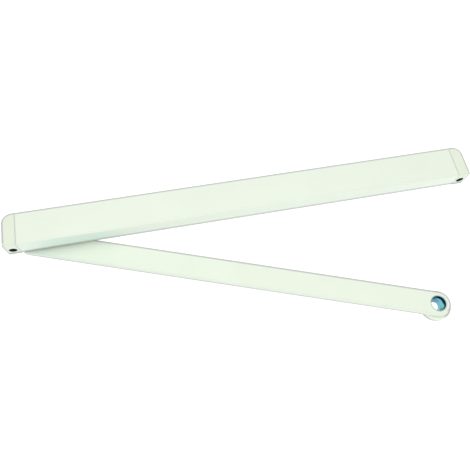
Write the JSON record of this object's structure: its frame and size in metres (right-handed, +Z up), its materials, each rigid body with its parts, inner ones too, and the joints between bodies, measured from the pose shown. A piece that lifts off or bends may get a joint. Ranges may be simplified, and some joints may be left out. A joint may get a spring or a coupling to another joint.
{
  "type": "window operator arm and slide rail",
  "caption": "Slide rail with end caps for a window, with a flat lever arm that slides along its track, swings on a pin and ends in a round hub for the operator's spindle.",
  "frame": {"origin": "centre of the rail's back face, which lies against the window frame", "axes": "+X along the rail, +Y out of the rail's back face into the window frame, +Z up"},
  "size_m": [0.45, 0.1622, 0.034],
  "materials": {
    "rail_paint": "satin powder coat",
    "lever_paint": "satin powder coat",
    "cap_plastic": "satin",
    "die_cast_zinc": "as cast zinc",
    "plated_steel": "zinc plated",
    "bush_bronze": "sintered",
    "glide_plastic": "matte",
    "washer_plastic": "matte",
    "buffer_rubber": "matte"
  },
  "bodies": {
    "rail": {"guide_rail": "rail_paint", "end_cap_left": "cap_plastic", "end_cap_right": "cap_plastic", "end_block_left": "die_cast_zinc", "end_block_right": "die_cast_zinc", "block_screw_left": "plated_steel", "block_screw_right": "plated_steel", "end_buffer_left": "buffer_rubber", "end_buffer_right": "buffer_rubber"},
    "slider": {"slider_core": "die_cast_zinc", "glide_shoe_left": "glide_plastic", "glide_shoe_right": "glide_plastic", "pivot_bush": "bush_bronze", "thrust_washer": "washer_plastic"},
    "lever": {"lever_arm": "lever_paint", "pivot_pin": "plated_steel", "ring_washer": "plated_steel", "retaining_ring": "plated_steel", "spindle_hub": "lever_paint", "spindle_bush": "plated_steel", "hub_set_screw": "plated_steel"}
  },
  "joints": [
    {"name": "slider_slide", "type": "slide", "parent": "rail", "child": "slider", "axis": [1, 0, 0], "range_m": [0, 0.41]},
    {"name": "lever_swing", "type": "hinge", "parent": "slider", "child": "lever", "pos_m": [-0.205, -0.022, -0.01375], "axis": [0, 0, 1], "range_deg": [-160.8, 19.2]}
  ]
}
